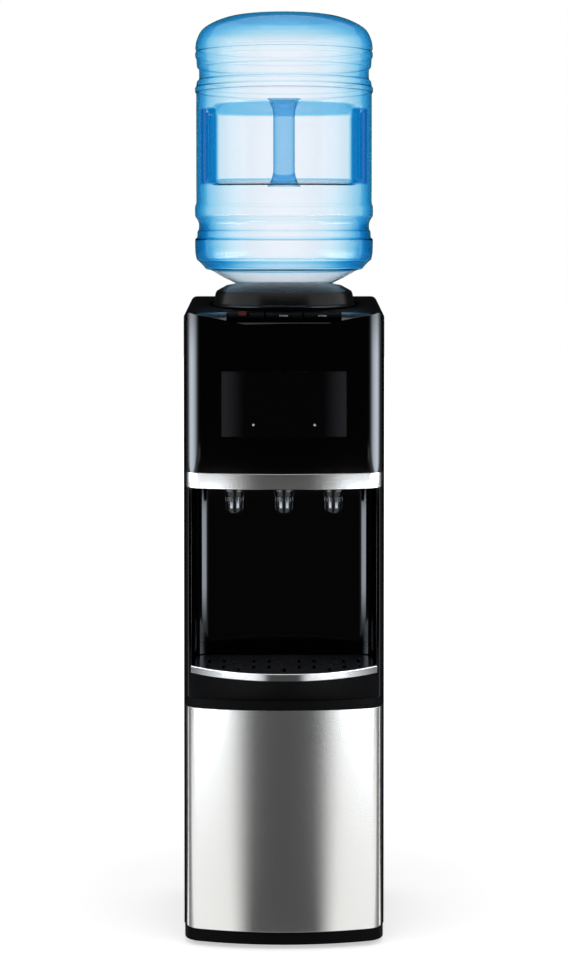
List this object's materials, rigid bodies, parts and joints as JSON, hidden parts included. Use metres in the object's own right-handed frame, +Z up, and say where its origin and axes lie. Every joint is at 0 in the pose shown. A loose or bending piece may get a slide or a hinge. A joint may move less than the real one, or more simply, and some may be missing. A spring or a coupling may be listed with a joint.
{
  "type": "top load water cooler",
  "caption": "Free-standing water cooler: bowed cabinet, inverted bottle on a collar, taps in an alcove worked by push keys, slide-out drip tray.",
  "frame": {"origin": "on the floor, under the centre of the whole part", "axes": "+Z up, the front with its taps and tray faces -Y, +X to the right seen from the front"},
  "size_m": [0.305, 0.345, 1.425],
  "materials": {
    "gloss_black": "gloss moulded",
    "satin_black": "satin moulded",
    "black_sheet": "satin powder coat",
    "brushed_steel": "brushed across the front",
    "silver_trim": "satin metallised plastic",
    "chrome": "polished",
    "smoked_window": "gloss smoked acrylic",
    "smoked_tap": "smoked translucent",
    "lens_white": "frosted",
    "rubber": "moulded",
    "red_plastic": "satin",
    "bottle_blue": "clear blue tinted",
    "cap_white": "moulded",
    "stainless": "deep drawn",
    "foam": "moulded foam",
    "copper": "drawn tube",
    "cast_black": "satin enamel",
    "silicone": "extruded",
    "board_green": "laminate",
    "zinc": "zinc plated",
    "grille_grey": "moulded"
  },
  "bodies": {
    "cabinet": {"base_pan": "satin_black", "tray_ledge": "satin_black", "tap_plate": "satin_black", "top_cover": "satin_black", "tap_valve_hot": "satin_black", "tap_valve_room": "satin_black", "tap_valve_cold": "satin_black", "switch_bezel": "satin_black", "cable_gland": "satin_black", "foot_front_left": "rubber", "foot_front_right": "rubber", "foot_rear_left": "rubber", "foot_rear_right": "rubber", "side_panel_left": "black_sheet", "side_panel_right": "black_sheet", "rear_panel": "black_sheet", "lower_front_panel": "brushed_steel", "niche_liner": "gloss_black", "upper_front_panel": "gloss_black", "accent_band": "silver_trim", "display_window": "smoked_window", "indicator_lens_hot": "lens_white", "indicator_lens_cold": "lens_white", "control_board": "board_green", "tap_nozzle_hot": "smoked_tap", "tap_nozzle_room": "smoked_tap", "tap_nozzle_cold": "smoked_tap", "cold_hose": "silicone", "room_hose": "silicone", "hot_hose": "silicone", "hot_tank": "stainless", "cold_tank": "stainless", "hot_tank_shelf": "zinc", "key_bracket": "zinc", "condenser_rail_left": "zinc", "condenser_rail_right": "zinc", "reservoir_baffle": "cap_white", "drain_spout": "cap_white", "evaporator_coil": "copper", "insulation_jacket": "foam", "compressor": "cast_black", "condenser": "cast_black"},
    "collar": {"bottle_collar": "satin_black", "feed_probe": "cap_white"},
    "bottle": {"bottle": "bottle_blue", "bottle_grip": "bottle_blue", "bottle_cap": "cap_white"},
    "hot_key": {"hot_key": "satin_black"},
    "room_key": {"room_key": "satin_black"},
    "cold_key": {"cold_key": "satin_black"},
    "child_lock": {"child_lock_slider": "red_plastic"},
    "rod_hot": {"push_rod_hot": "zinc"},
    "rod_room": {"push_rod_room": "zinc"},
    "rod_cold": {"push_rod_cold": "zinc"},
    "tray": {"drip_tray": "satin_black", "tray_trim": "chrome"},
    "grille": {"drip_grille": "grille_grey"},
    "hot_switch": {"hot_switch": "red_plastic"},
    "cold_switch": {"cold_switch": "gloss_black"},
    "drain_cap": {"drain_cap": "satin_black"}
  },
  "joints": [
    {"name": "collar_lift", "type": "slide", "parent": "cabinet", "child": "collar", "axis": [0, 0, 1], "range_m": [0, 0.08]},
    {"name": "bottle_lift", "type": "slide", "parent": "collar", "child": "bottle", "axis": [0, 0, 1], "range_m": [0, 0.1]},
    {"name": "hot_key_press", "type": "hinge", "parent": "cabinet", "child": "hot_key", "pos_m": [-0.0576, -0.074, 0.9396], "axis": [1, 0, 0], "range_deg": [0, 8], "stiffness_Nm_per_rad": 0.25, "springref_deg": -17.19},
    {"name": "room_key_press", "type": "hinge", "parent": "cabinet", "child": "room_key", "pos_m": [0, -0.074, 0.9396], "axis": [1, 0, 0], "range_deg": [0, 8], "stiffness_Nm_per_rad": 0.25, "springref_deg": -17.19},
    {"name": "cold_key_press", "type": "hinge", "parent": "cabinet", "child": "cold_key", "pos_m": [0.0576, -0.074, 0.9396], "axis": [1, 0, 0], "range_deg": [0, 8], "stiffness_Nm_per_rad": 0.25, "springref_deg": -17.19},
    {"name": "child_lock_slide", "type": "slide", "parent": "hot_key", "child": "child_lock", "axis": [1, 0, 0], "range_m": [0, 0.005]},
    {"name": "hot_rod_drop", "type": "slide", "parent": "cabinet", "child": "rod_hot", "axis": [0, 0, -1], "range_m": [0, 0.0034], "stiffness_N_per_m": 8, "springref_m": -0.004},
    {"name": "room_rod_drop", "type": "slide", "parent": "cabinet", "child": "rod_room", "axis": [0, 0, -1], "range_m": [0, 0.0034], "stiffness_N_per_m": 8, "springref_m": -0.004},
    {"name": "cold_rod_drop", "type": "slide", "parent": "cabinet", "child": "rod_cold", "axis": [0, 0, -1], "range_m": [0, 0.0034], "stiffness_N_per_m": 8, "springref_m": -0.004},
    {"name": "drip_tray_pull", "type": "slide", "parent": "cabinet", "child": "tray", "axis": [0, -1, 0], "range_m": [0, 0.12]},
    {"name": "drip_grille_lift", "type": "slide", "parent": "tray", "child": "grille", "axis": [0, 0, 1], "range_m": [0, 0.04]},
    {"name": "hot_switch_rock", "type": "hinge", "parent": "cabinet", "child": "hot_switch", "pos_m": [0.07945, 0.1515, 0.8831], "axis": [1, 0, 0], "range_deg": [-24, 0]},
    {"name": "cold_switch_rock", "type": "hinge", "parent": "cabinet", "child": "cold_switch", "pos_m": [0.10455, 0.1515, 0.8831], "axis": [1, 0, 0], "range_deg": [-24, 0]},
    {"name": "drain_cap_turn", "type": "hinge", "parent": "cabinet", "child": "drain_cap", "pos_m": [-0.07, 0.16, 0.084], "axis": [0, 1, 0], "range_deg": [0, 270]}
  ],
  "couplings": [
    {"joint": "hot_rod_drop", "follows": "hot_key_press", "m_per_rad": 0.024},
    {"joint": "room_rod_drop", "follows": "room_key_press", "m_per_rad": 0.024},
    {"joint": "cold_rod_drop", "follows": "cold_key_press", "m_per_rad": 0.024}
  ]
}
